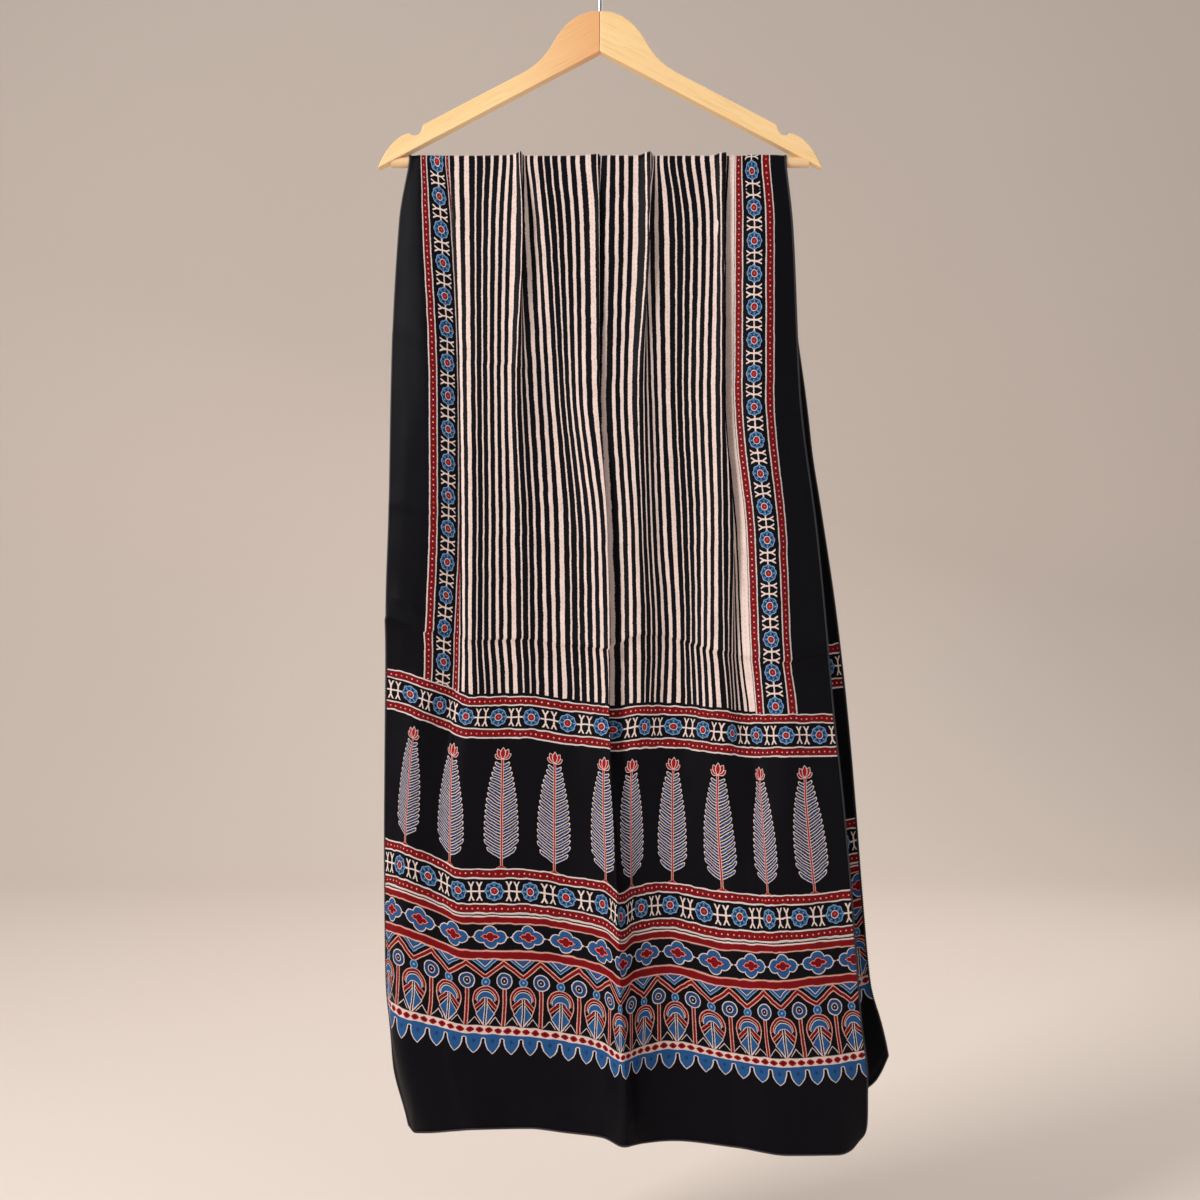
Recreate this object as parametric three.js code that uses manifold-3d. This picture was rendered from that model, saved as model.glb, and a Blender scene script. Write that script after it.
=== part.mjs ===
// Ajrakh cloth, block printed, draped over the trouser bar of a flat wooden coat hanger.
// Millimetres, +Z up, the front faces -Y. The origin is the inner crown of the hanger's hook.

import * as THREE from "three";
import { mergeVertices } from "three/addons/utils/BufferGeometryUtils.js";
import Module from "manifold-3d";

const wasm = await Module();
wasm.setup();

// Hanger
const WIRE = 4;
const HOOK_RADIUS = 20;
const CROOK_START = THREE.MathUtils.degToRad(-65);
const CROOK_END = THREE.MathUtils.degToRad(192);
const SHANK_DEPTH = 28;
const ARM_TOP = -64;
const ARM_THICKNESS = 13;
const ARM_BEVEL = 0.6;
const MITRE_DEPTH = 40.4;
const MITRE_GAP = 0.15;
const FIT = 0.3;
const BAR_AXIS = -213.5;
const BAR_RADIUS = 5.5;
const BAR_HALF = 208.5;

// Cloth, flat size 550 x 1925, with a narrow rolled hem all round
const WIDTH = 550;
const SHEET = 1.2;
const HEM_THICKNESS = 1.6;
const WRAP_RADIUS = BAR_RADIUS + 0.45 + HEM_THICKNESS / 2;
const BORDER = 437.8;
const BAR_STATION = 975;

// Places on the cloth are read on the bar's plane by an eye in front of it, so a fold that
// stands out by some depth is drawn in towards that eye by the same share of its distance.
const EYE_DISTANCE = 1600;
const EYE_DROP = 437.5;

// Heights of the table's eleven columns, as distance from the front hem along the cloth.
const STATIONS = [975, 913, 749, 609, 502, 437.8, 350, 263, 135, 80, 0];

// One row for each line that runs along the front: its place across the flat cloth, where it
// hangs from side to side (x) and how far it stands out from the bar's front (out).
const LINES = [
  {
    name: "left edge",
    flat: 0,
    x: [-189.5, -200, -208, -210.4, -213.5, -213.7, -214.6, -215.2, -214, -210.5, -191],
    out: [0, -1, 0, 2, 3, 3, 0, -8, -22, -28, -26],
  },
  {
    name: "left turn",
    flat: 20,
    x: [-185.5, -190, -190.5, -191.5, -194.5, -195.5, -199, -203.5, -207.5, -208.2, -184],
    out: [0, 2, 5, 6, 6, 6, 6, 2, -8, -14, -13],
  },
  {
    name: "left outer band",
    flat: 39.5,
    x: [-179.8, -178.6, -172.3, -172, -175.5, -177.5, -187.5, -193, -193, -197.6, -172],
    out: [0.5, 4, 8, 7, 7, 8, 10, 10, 3, 0, -3],
  },
  {
    name: "groove",
    flat: 78,
    x: [-155, -148.7, -142, -142.1, -145.4, -147.7, -156.5, -158.5, -157.7, -161.7, -145],
    out: [0, -1, -1, -2, -2, -2, 1, 5, 6, 5, 4],
  },
  {
    name: "field edge",
    flat: 93,
    x: [-144.5, -141.5, -137.5, -137, -138, -138.5, -146.5, -147.5, -144, -147.5, -134],
    out: [0, 3, 4, 4, 5, 5, 6, 9, 9, 7, 8],
  },
  {
    name: "first broad stripe",
    flat: 103.5,
    x: [-133.4, -132.8, -130.9, -129.6, -130.1, -129.3, -138.5, -139, -133.7, -137.1, -125],
    out: [0, 4, 7, 7, 8, 8, 9, 10, 9, 7, 9],
  },
  {
    name: "left pleat foot",
    flat: 151,
    x: [-87, -89.5, -92.5, -89.8, -88.8, -87, -89, -89.8, -86.7, -89.7, -84],
    out: [1, 8, 9, 5, 5, 5, 8, 9, 8, 7, 3],
  },
  {
    name: "left pleat crest",
    flat: 166,
    x: [-76, -77, -81.4, -76, -74.6, -73.4, -74.4, -75, -71.7, -74.6, -70],
    out: [4.5, 12, 12, 6, 6, 6, 8, 9, 8, 7, 5],
  },
  {
    name: "left pleat back",
    flat: 190,
    x: [-74.2, -69, -61, -53.5, -51, -49.5, -50.7, -51, -48, -49.8, -47.5],
    out: [0, 0, 5, 5, 5, 6, 8, 9, 8, 7, 8],
  },
  {
    name: "third broad stripe",
    flat: 204.5,
    x: [-64.5, -58.2, -48, -38.5, -37.1, -35, -37, -37, -33.8, -35.2, -33],
    out: [0, 3, 3, 5, 6, 6, 9, 9, 8, 8, 10],
  },
  {
    name: "ridge flank",
    flat: 245,
    x: [-23.2, -19, -16, -1.2, 1.4, 3, 0.5, 3.5, 2.5, 0.5, 2.5],
    out: [0, 2, 8, 12, 13, 14, 15, 18, 18, 20, 22],
  },
  {
    name: "ridge crest",
    flat: [266, 265, 262.5, 257.5, 256.5, 253.5, 264, 270, 279, 283.5, 286],
    x: [-1.5, -0.7, -0.2, 7.5, 9.5, 9, 12.5, 17, 22.3, 25.4, 28],
    out: [2, 6, 10, 14, 16, 17, 22, 34, 40, 42, 42],
  },
  {
    name: "ridge back",
    flat: [271, 272, 275, 276, 275, 275, 279, 276, 282, 286.5, 289],
    x: [0.6, 0.9, 1.6, 9.3, 11.3, 10.8, 14.5, 18.7, 23.6, 26.9, 29.5],
    out: [0, 1, 2, 2, 2, 2, 10, 28, 38, 40, 40],
  },
  {
    name: "right pleat foot",
    flat: 305.5,
    x: [35.5, 35.4, 30, 36.7, 39.1, 38.8, 34, 33.5, 39, 37.9, 40],
    out: [0, 3, 5, 8, 10, 9, 9, 14, 20, 24, 27],
  },
  {
    name: "right pleat crest",
    flat: 319.5,
    x: [50, 50, 42.3, 45.7, 50, 48, 45, 44, 49, 48.7, 51],
    out: [4.5, 10, 9, 7, 7, 7, 6, 10, 13, 17, 20],
  },
  {
    name: "right pleat back",
    flat: 344,
    x: [51.8, 54, 57.3, 62.6, 68.6, 66.3, 63, 63, 70, 71.5, 74],
    out: [0, 0, 3, 2, 2, 2, 3, 4, 5, 8, 12],
  },
  {
    name: "sixth broad stripe",
    flat: 356,
    x: [61.5, 66.7, 68.3, 74.4, 78.8, 78.8, 73.7, 73.7, 80.7, 82.8, 85],
    out: [0, 1, 2, 2, 2, 2, 3, 3, 4, 6, 10],
  },
  {
    name: "seventh broad stripe",
    flat: 406.5,
    x: [112, 115.8, 113.5, 116.5, 116, 118.7, 116.3, 121.4, 129.8, 133.3, 135],
    out: [0, 4, 10, 12, 14, 14, 14, 14, 14, 13, 14],
  },
  {
    name: "fold lip",
    flat: 417,
    x: [123, 124.2, 121, 126.3, 126.5, 129.8, 127, 133, 140, 143.2, 146],
    out: [1, 5, 12, 14, 15, 15, 16, 18, 18, 17, 18],
  },
  {
    name: "fold back",
    flat: 450,
    x: [126.8, 126.8, 124.5, 137, 144, 148, 156, 162, 169.5, 175.7, 178],
    out: [0, 2, 3, 5, 7, 9, 14, 24, 28, 27, 24],
  },
  {
    name: "right inner band",
    flat: 461,
    x: [134.6, 134, 133.3, 146, 150.7, 155.5, 161.5, 168.2, 180, 186.2, 189],
    out: [0, 4, 7, 9, 11, 13, 18, 27, 29, 28, 25],
  },
  {
    name: "right rosettes",
    flat: 499,
    x: [161, 167.4, 164.8, 179.5, 184, 187.5, 192, 200.5, 216, 223.3, 226],
    out: [1, 8, 14, 16, 18, 20, 26, 28, 24, 23, 20],
  },
  {
    name: "right outer band",
    flat: 510.5,
    x: [170, 173.7, 173, 187, 192, 199, 203, 212, 227, 234.3, 237],
    out: [1, 6, 11, 12, 14, 17, 23, 25, 21, 20, 17],
  },
  {
    name: "right edge",
    flat: WIDTH,
    x: [185.4, 192.3, 200, 217.5, 228, 233.7, 243, 251, 261.3, 267.3, 262],
    out: [0, 2, 2, 3, 5, 6, 12, 14, 8, 4, -2],
  },
];

// How far below the bar's axis the printed borders hang, from the top border to the hem.
const LEVELS = [437.8, 393, 263, 184, 107.5, 78, 0];
const DROPS = [
  { flat: 0, drop: [505.5, 546.5, 675.9, 757.5, 833.5, 856.5, 962.5] },
  { flat: 20, drop: [509, 550.5, 679, 760.5, 839.5, 865.5, 969.5] },
  { flat: 39.5, drop: [515.5, 557, 683, 765, 846.5, 875.8, 969.7] },
  { flat: 78, drop: [525.5, 568.5, 697, 778.5, 855.5, 883, 967.8] },
  { flat: 103.5, drop: [534.3, 576, 706.3, 786.8, 861.8, 889, 966.5] },
  { flat: 166, drop: [533.2, 576.5, 706.8, 788.1, 865.3, 892.5, 965.5] },
  { flat: 204.5, drop: [538.8, 582.1, 713, 792.5, 870.5, 897.8, 969.8] },
  { flat: 245, drop: [543.1, 586, 719.5, 802.5, 879, 905.5, 974.5] },
  { flat: 279, drop: [546, 590, 731.5, 815.3, 891, 917.5, 984] },
  { flat: 305.5, drop: [542.5, 587.1, 724.5, 806.5, 885, 910.8, 980.5] },
  { flat: 344, drop: [542.9, 585.9, 719.8, 801.8, 878.3, 905.5, 977.5] },
  { flat: 406.5, drop: [547.8, 591.5, 728.8, 815, 890, 913.5, 984.2] },
  { flat: 461, drop: [551.5, 595.5, 733, 817.7, 896.1, 923.5, 992.5] },
  { flat: 510.5, drop: [551.3, 594.8, 731.7, 813, 893, 920.7, 992] },
  { flat: WIDTH, drop: [551.2, 594.3, 727, 809.7, 887.5, 914.5, 978.5] },
];

// The back panel: its two side edges by share of its length, its hem, and its hanging waves.
const BACK_SHARES = [0, 0.07, 0.235, 0.375, 0.485, 0.56, 0.69, 0.78, 0.89, 0.965, 1];
const BACK_LEFT = [-189.5, -196, -199, -198, -197, -196, -192, -186, -175, -165, -158];
const BACK_RIGHT = [185.4, 193, 205.5, 221, 236, 244, 256, 263.7, 273, 285, 288];
const BACK_HEM = { flat: [0, 270, 525, 540, WIDTH], drop: [955, 940, 925.5, 911, 894] };
const BACK_WAVES = [
  { pitch: 128, shift: 0.35, depth: 17 },
  { pitch: 205, shift: 0.1, depth: 9 },
];
const BACK_SPREAD = 0.3;

// The pressed crease across the front, just above the top border.
const CREASE = { station: 502, reach: 12, height: 1.6 };

// Mesh steps between neighbouring lines, and the rows up the front and down the back.
const STEPS = [2, 2, 3, 2, 1, 3, 3, 3, 2, 3, 2, 1, 2, 2, 3, 1, 3, 1, 3, 1, 2, 1, 3];
const FRONT_ROWS = [
  0, 26, 52, 80, 107.5, 135, 167, 200, 232, 263, 293, 322, 350, 380, 409, 437.8, 466, 490,
  502, 514, 540, 574, 609, 644, 679, 714, 749, 785, 821, 857, 885, 913, 940, 960,
];
const BAR_ROWS = 7;
const BACK_ROWS = [
  0.015, 0.04, 0.08, 0.13, 0.19, 0.26, 0.33, 0.4, 0.47, 0.54, 0.61, 0.68, 0.75, 0.82, 0.89, 0.95, 1,
];

const clamp01 = (value) => Math.min(1, Math.max(0, value));

function smoothStep(value) {
  const t = clamp01(value);
  return t * t * (3 - 2 * t);
}

// Value of a curve through the points (xs, ys) that never swings past them.
function through(xs, ys, at) {
  const last = xs.length - 1;
  const rising = xs[last] > xs[0];
  const inside = (k) => (rising ? at < xs[k] : at > xs[k]);
  let i = 0;
  while (i < last - 1 && !inside(i + 1)) {
    i += 1;
  }
  const slope = (k) => (ys[k + 1] - ys[k]) / (xs[k + 1] - xs[k]);
  const tangent = (k) => {
    if (k === 0 || k === last) {
      return slope(Math.min(k, last - 1));
    }
    const before = slope(k - 1);
    const after = slope(k);
    return before * after <= 0 ? 0 : (2 * before * after) / (before + after);
  };
  const span = xs[i + 1] - xs[i];
  const t = clamp01((at - xs[i]) / span);
  const fromStart = (1 + 2 * t) * (1 - t) ** 2 * ys[i] + t * (1 - t) ** 2 * span * tangent(i);
  const fromEnd = t * t * (3 - 2 * t) * ys[i + 1] + t * t * (t - 1) * span * tangent(i + 1);
  return fromStart + fromEnd;
}

// Point in space for a place read on the bar's plane, standing out towards the front.
function seen(side, drop, out) {
  const share = (EYE_DISTANCE - out) / EYE_DISTANCE;
  const eyeHeight = BAR_AXIS - EYE_DROP;
  return new THREE.Vector3(side * share, -out, eyeHeight + (EYE_DROP - drop) * share);
}

// The lines of the table at one station, as lists across the cloth.
function linesAt(station) {
  const flats = [];
  const sides = [];
  const outs = [];
  for (const line of LINES) {
    const isList = Array.isArray(line.flat);
    flats.push(isList ? through(STATIONS, line.flat, station) : line.flat);
    sides.push(through(STATIONS, line.x, station));
    outs.push(through(STATIONS, line.out, station));
  }
  return { flats, sides, outs };
}

// Places across the flat cloth at which one row has its points.
function columnsAt(station) {
  const { flats } = linesAt(station);
  const columns = [flats[0]];
  STEPS.forEach((count, i) => {
    for (let k = 1; k <= count; k += 1) {
      columns.push(flats[i] + ((flats[i + 1] - flats[i]) * k) / count);
    }
  });
  return columns;
}

function borderDrop(flat, level) {
  const flats = DROPS.map((row) => row.flat);
  const drops = DROPS.map((row) => through(LEVELS, row.drop, level));
  return through(flats, drops, flat);
}

function frontPoint(flat, station) {
  const { flats, sides, outs } = linesAt(station);
  const upper = (station - BORDER) / (BAR_STATION - BORDER);
  const drop = upper > 0 ? borderDrop(flat, BORDER) * (1 - upper) : borderDrop(flat, station);
  const fold = CREASE.height * Math.exp(-(((station - CREASE.station) / CREASE.reach) ** 2));
  const out = WRAP_RADIUS + through(flats, outs, flat) + fold;
  return seen(through(flats, sides, flat), drop, out);
}

function barPoint(flat, turn) {
  const { flats, sides, outs } = linesAt(BAR_STATION);
  const radius = WRAP_RADIUS + through(flats, outs, flat);
  const point = seen(through(flats, sides, flat), 0, radius * Math.cos(turn));
  point.z = BAR_AXIS + radius * Math.sin(turn);
  return point;
}

function backPoint(flat, share) {
  const { flats, sides, outs } = linesAt(BAR_STATION);
  const spread = smoothStep(share / BACK_SPREAD);
  const left = through(BACK_SHARES, BACK_LEFT, share);
  const right = through(BACK_SHARES, BACK_RIGHT, share);
  const even = left + ((right - left) * flat) / WIDTH;
  const side = through(flats, sides, flat) * (1 - spread) + even * spread;
  let out = WRAP_RADIUS + through(flats, outs, flat) * (1 - spread);
  for (const wave of BACK_WAVES) {
    const swing = 0.5 - 0.5 * Math.cos(2 * Math.PI * (flat / wave.pitch + wave.shift));
    out += wave.depth * swing * smoothStep(share);
  }
  return seen(side, through(BACK_HEM.flat, BACK_HEM.drop, flat) * share, -out);
}

// The middle surface of the cloth, row by row from the front hem to the back hem.
function clothRows() {
  const rows = FRONT_ROWS.map((station) => columnsAt(station).map((flat) => frontPoint(flat, station)));
  const topColumns = columnsAt(BAR_STATION);
  for (let k = 0; k <= BAR_ROWS; k += 1) {
    rows.push(topColumns.map((flat) => barPoint(flat, (Math.PI * k) / BAR_ROWS)));
  }
  for (const share of BACK_ROWS) {
    rows.push(topColumns.map((flat) => backPoint(flat, share)));
  }
  return rows;
}

// How far the cloth's faces stand from its middle, measured along its panel's own normal:
// more where the cloth runs steeply, so that its real thickness stays the same.
function halfThickness(rows, r, c, normal) {
  const lastRow = rows.length - 1;
  const lastColumn = rows[r].length - 1;
  const isHem = r === 0 || r === lastRow || c === 0 || c === lastColumn;
  const right = rows[r][Math.min(c + 1, lastColumn)].clone();
  const up = rows[Math.min(r + 1, lastRow)][c].clone();
  right.sub(rows[r][Math.max(c - 1, 0)]);
  up.sub(rows[Math.max(r - 1, 0)][c]);
  const steepness = Math.abs(right.cross(up).normalize().dot(normal));
  return (isHem ? HEM_THICKNESS : SHEET) / 2 / Math.max(steepness, 0.45);
}

// A closed sheet round the middle surface. Its panels face front and back, and round the bar
// it faces outwards.
function sheetGeometry(rows) {
  const rowCount = rows.length;
  const columnCount = rows[0].length;
  const corners = [];
  for (const side of [1, -1]) {
    rows.forEach((row, r) => {
      const turn = Math.PI * clamp01((r - FRONT_ROWS.length) / BAR_ROWS);
      const normal = new THREE.Vector3(0, -Math.cos(turn), Math.sin(turn));
      row.forEach((middle, c) => {
        const half = halfThickness(rows, r, c, normal);
        const point = middle.clone().addScaledVector(normal, side * half);
        corners.push(point.x, point.y, point.z);
      });
    });
  }
  const at = (layer, r, c) => (layer * rowCount + r) * columnCount + c;
  const faces = [];
  const quad = (a, b, c, d) => faces.push(a, b, c, a, c, d);
  const lastRow = rowCount - 1;
  const lastColumn = columnCount - 1;
  for (let r = 0; r < lastRow; r += 1) {
    for (let c = 0; c < lastColumn; c += 1) {
      quad(at(0, r, c), at(0, r, c + 1), at(0, r + 1, c + 1), at(0, r + 1, c));
      quad(at(1, r, c), at(1, r + 1, c), at(1, r + 1, c + 1), at(1, r, c + 1));
    }
    quad(at(0, r, 0), at(0, r + 1, 0), at(1, r + 1, 0), at(1, r, 0));
    quad(at(0, r + 1, lastColumn), at(0, r, lastColumn), at(1, r, lastColumn), at(1, r + 1, lastColumn));
  }
  for (let c = 0; c < lastColumn; c += 1) {
    quad(at(0, 0, c + 1), at(0, 0, c), at(1, 0, c), at(1, 0, c + 1));
    quad(at(0, lastRow, c), at(0, lastRow, c + 1), at(1, lastRow, c + 1), at(1, lastRow, c));
  }
  const geometry = new THREE.BufferGeometry();
  geometry.setAttribute("position", new THREE.Float32BufferAttribute(corners, 3));
  geometry.setIndex(faces);
  geometry.computeVertexNormals();
  return geometry;
}

function solidOf(geometry) {
  const bare = geometry.clone();
  bare.deleteAttribute("normal");
  bare.deleteAttribute("uv");
  const merged = mergeVertices(bare, 1e-4);
  const vertProperties = new Float32Array(merged.attributes.position.array);
  const triVerts = new Uint32Array(merged.index.array);
  return new wasm.Manifold(new wasm.Mesh({ numProp: 3, vertProperties, triVerts }));
}

function geometryOf(solid) {
  const mesh = solid.getMesh();
  const geometry = new THREE.BufferGeometry();
  geometry.setAttribute("position", new THREE.BufferAttribute(mesh.vertProperties, 3));
  geometry.setIndex(new THREE.BufferAttribute(mesh.triVerts, 1));
  geometry.computeVertexNormals();
  return geometry;
}

// Outline of one arm from its mitred end to its nose; side is -1 for the left arm, 1 for the
// right. The small hollow near the nose is the strap notch.
function armOutline(side) {
  const outline = new THREE.Shape();
  outline.moveTo(side * MITRE_GAP, 0);
  outline.bezierCurveTo(side * 22, 0, side * 36, -13, side * 46, -30.4);
  outline.bezierCurveTo(side * 53, -43, side * 61, -53, side * 77, -61.6);
  outline.lineTo(side * 176.6, -113.5);
  outline.quadraticCurveTo(side * 178, -124.2, side * 184.6, -124);
  outline.quadraticCurveTo(side * 188.2, -123.8, side * 189.5, -121.6);
  outline.bezierCurveTo(side * 203, -124, side * 215, -139, side * 221.5, -157);
  outline.lineTo(side * MITRE_GAP, -MITRE_DEPTH);
  return outline;
}

// A flat arm with softened edges, a blind bore for the end of the bar in its lower face and
// half of the hook's socket in its mitred end.
function armGeometry(side) {
  const body = new THREE.ExtrudeGeometry(armOutline(side), {
    depth: ARM_THICKNESS - 2 * ARM_BEVEL,
    bevelThickness: ARM_BEVEL,
    bevelSize: ARM_BEVEL,
    bevelOffset: -ARM_BEVEL,
    bevelSegments: 1,
    curveSegments: 9,
  });
  body.rotateX(Math.PI / 2);
  body.translate(0, ARM_THICKNESS / 2 - ARM_BEVEL, ARM_TOP);
  const boreLength = 60;
  const bore = new THREE.CylinderGeometry(BAR_RADIUS + FIT, BAR_RADIUS + FIT, boreLength, 28);
  bore.rotateZ(Math.PI / 2);
  bore.translate(side * (BAR_HALF + FIT - boreLength / 2), 0, BAR_AXIS);
  const socketDepth = SHANK_DEPTH + FIT;
  const socket = new THREE.CylinderGeometry(WIRE / 2 + FIT, WIRE / 2 + FIT, 2 * socketDepth, 20);
  socket.rotateX(Math.PI / 2);
  socket.translate(0, 0, ARM_TOP);
  return geometryOf(solidOf(body).subtract(solidOf(bore)).subtract(solidOf(socket)));
}

// Centre line of the hook: a straight shank, a short sweep to the side, then a round crook.
class HookLine extends THREE.Curve {
  constructor() {
    super();
    const radius = HOOK_RADIUS;
    this.crookHeight = WIRE / 2 - radius;
    this.sweepRadius = (radius * Math.cos(CROOK_START)) / (1 - Math.cos(CROOK_START));
    this.sweepHeight = this.crookHeight + (radius + this.sweepRadius) * Math.sin(CROOK_START);
    this.shankFoot = ARM_TOP - SHANK_DEPTH;
    this.shankLength = this.sweepHeight - this.shankFoot;
    this.sweepLength = this.sweepRadius * -CROOK_START;
    this.length = this.shankLength + this.sweepLength + radius * (CROOK_END - CROOK_START);
  }

  getPoint(t, target = new THREE.Vector3()) {
    const along = t * this.length;
    const swept = along - this.shankLength;
    const crooked = swept - this.sweepLength;
    if (swept < 0) {
      return target.set(0, 0, this.shankFoot + along);
    }
    if (crooked < 0) {
      const angle = Math.PI - swept / this.sweepRadius;
      const side = this.sweepRadius * (1 + Math.cos(angle));
      return target.set(side, 0, this.sweepHeight + this.sweepRadius * Math.sin(angle));
    }
    const angle = CROOK_START + crooked / HOOK_RADIUS;
    const height = this.crookHeight + HOOK_RADIUS * Math.sin(angle);
    return target.set(HOOK_RADIUS * Math.cos(angle), 0, height);
  }
}

// Bent wire with a rounded tip.
function hookGeometry() {
  const line = new HookLine();
  const section = new THREE.Shape();
  section.absarc(0, 0, WIRE / 2, 0, 2 * Math.PI);
  const wire = new THREE.ExtrudeGeometry(section, { extrudePath: line, steps: 52, curveSegments: 7 });
  const tip = new THREE.SphereGeometry(WIRE / 2, 14, 10);
  const end = line.getPoint(1);
  tip.translate(end.x, end.y, end.z);
  return geometryOf(solidOf(wire).add(solidOf(tip)));
}

function clothMesh() {
  const material = new THREE.MeshStandardMaterial({ color: 0x3a2230, roughness: 0.85, metalness: 0 });
  const mesh = new THREE.Mesh(sheetGeometry(clothRows()), material);
  mesh.name = "cloth";
  return mesh;
}

function armMesh(name, side) {
  const material = new THREE.MeshStandardMaterial({ color: 0xeec78e, roughness: 0.55, metalness: 0 });
  const mesh = new THREE.Mesh(armGeometry(side), material);
  mesh.name = name;
  return mesh;
}

function barMesh() {
  const material = new THREE.MeshStandardMaterial({ color: 0xf0d2a8, roughness: 0.6, metalness: 0 });
  const geometry = new THREE.CylinderGeometry(BAR_RADIUS, BAR_RADIUS, 2 * BAR_HALF, 28);
  const mesh = new THREE.Mesh(geometry, material);
  mesh.name = "hanger_bar";
  mesh.rotation.z = Math.PI / 2;
  mesh.position.z = BAR_AXIS;
  return mesh;
}

function hookMesh() {
  const material = new THREE.MeshStandardMaterial({ color: 0xa9adb2, roughness: 0.3, metalness: 1 });
  const mesh = new THREE.Mesh(hookGeometry(), material);
  mesh.name = "hook";
  return mesh;
}

const drapedCloth = new THREE.Group();
drapedCloth.name = "ajrakh_cloth_on_hanger";
drapedCloth.add(clothMesh());
drapedCloth.add(armMesh("hanger_arm_left", -1));
drapedCloth.add(armMesh("hanger_arm_right", 1));
drapedCloth.add(barMesh());
drapedCloth.add(hookMesh());

export default drapedCloth;
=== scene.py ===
import math

import bpy
import numpy as np
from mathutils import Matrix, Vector, noise


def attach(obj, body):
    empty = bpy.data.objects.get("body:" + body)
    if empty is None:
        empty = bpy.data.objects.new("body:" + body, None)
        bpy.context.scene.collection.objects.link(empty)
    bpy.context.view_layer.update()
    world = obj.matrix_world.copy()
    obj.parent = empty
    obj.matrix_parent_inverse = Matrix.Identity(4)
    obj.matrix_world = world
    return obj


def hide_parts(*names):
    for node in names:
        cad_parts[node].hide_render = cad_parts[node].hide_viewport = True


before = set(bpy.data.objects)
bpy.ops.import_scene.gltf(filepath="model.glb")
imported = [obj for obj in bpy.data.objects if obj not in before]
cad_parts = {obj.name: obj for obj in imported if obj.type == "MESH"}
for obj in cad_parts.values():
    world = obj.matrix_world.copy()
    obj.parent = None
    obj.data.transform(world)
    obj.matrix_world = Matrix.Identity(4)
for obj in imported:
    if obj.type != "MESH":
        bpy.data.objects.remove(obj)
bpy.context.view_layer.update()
MM = 0.001

# Sizes, in millimetres
ARM_TOP = -64
ARM_THICKNESS = 13
MITRE_GAP = 0.15
MITRE_DEPTH = 40.4
BAR_AXIS = -213.5
BAR_RADIUS = 5.5
WIRE = 4
HOOK_RADIUS = 20
SHANK_DEPTH = 28
CROOK_START = math.radians(-65)
CROOK_END = math.radians(192)

WIDTH = 550
LENGTH = 1925
SHEET = 0.4
WRAP_RADIUS = BAR_RADIUS + 1.0
BORDER = 437.8
BAR_STATION = 975
BAR_STEPS = 14
BACK_ROWS = 69
EYE_DISTANCE = 1600
EYE_DROP = 437.5

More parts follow.
